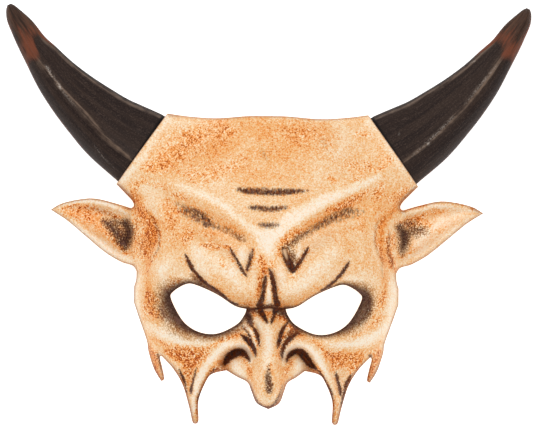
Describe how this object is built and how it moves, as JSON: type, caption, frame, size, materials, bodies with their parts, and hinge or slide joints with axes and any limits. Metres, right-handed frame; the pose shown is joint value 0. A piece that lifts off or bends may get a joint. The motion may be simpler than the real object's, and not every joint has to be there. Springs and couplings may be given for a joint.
{
  "type": "horned demon half mask",
  "caption": "Hollow cast latex half mask of a frowning demon, open behind, with eye holes, pointed ears, prongs and plugged-in horns.",
  "frame": {"origin": "middle of the mask's plan, on the surface it lies on", "axes": "+X across the face from ear to ear, +Y from the chin side to the horns, +Z out of the face"},
  "size_m": [0.358, 0.2852, 0.0907],
  "materials": {
    "painted_latex": "matt cream latex with a mottled orange-brown wash, grey-black airbrush round the eyes and pale ridges",
    "horn_latex": "satin near-black brown with lighter streaks along the horn and reddish tips"
  },
  "bodies": {
    "root": {"mask_face": "painted_latex", "horn_left": "horn_latex", "horn_right": "horn_latex"}
  },
  "joints": []
}
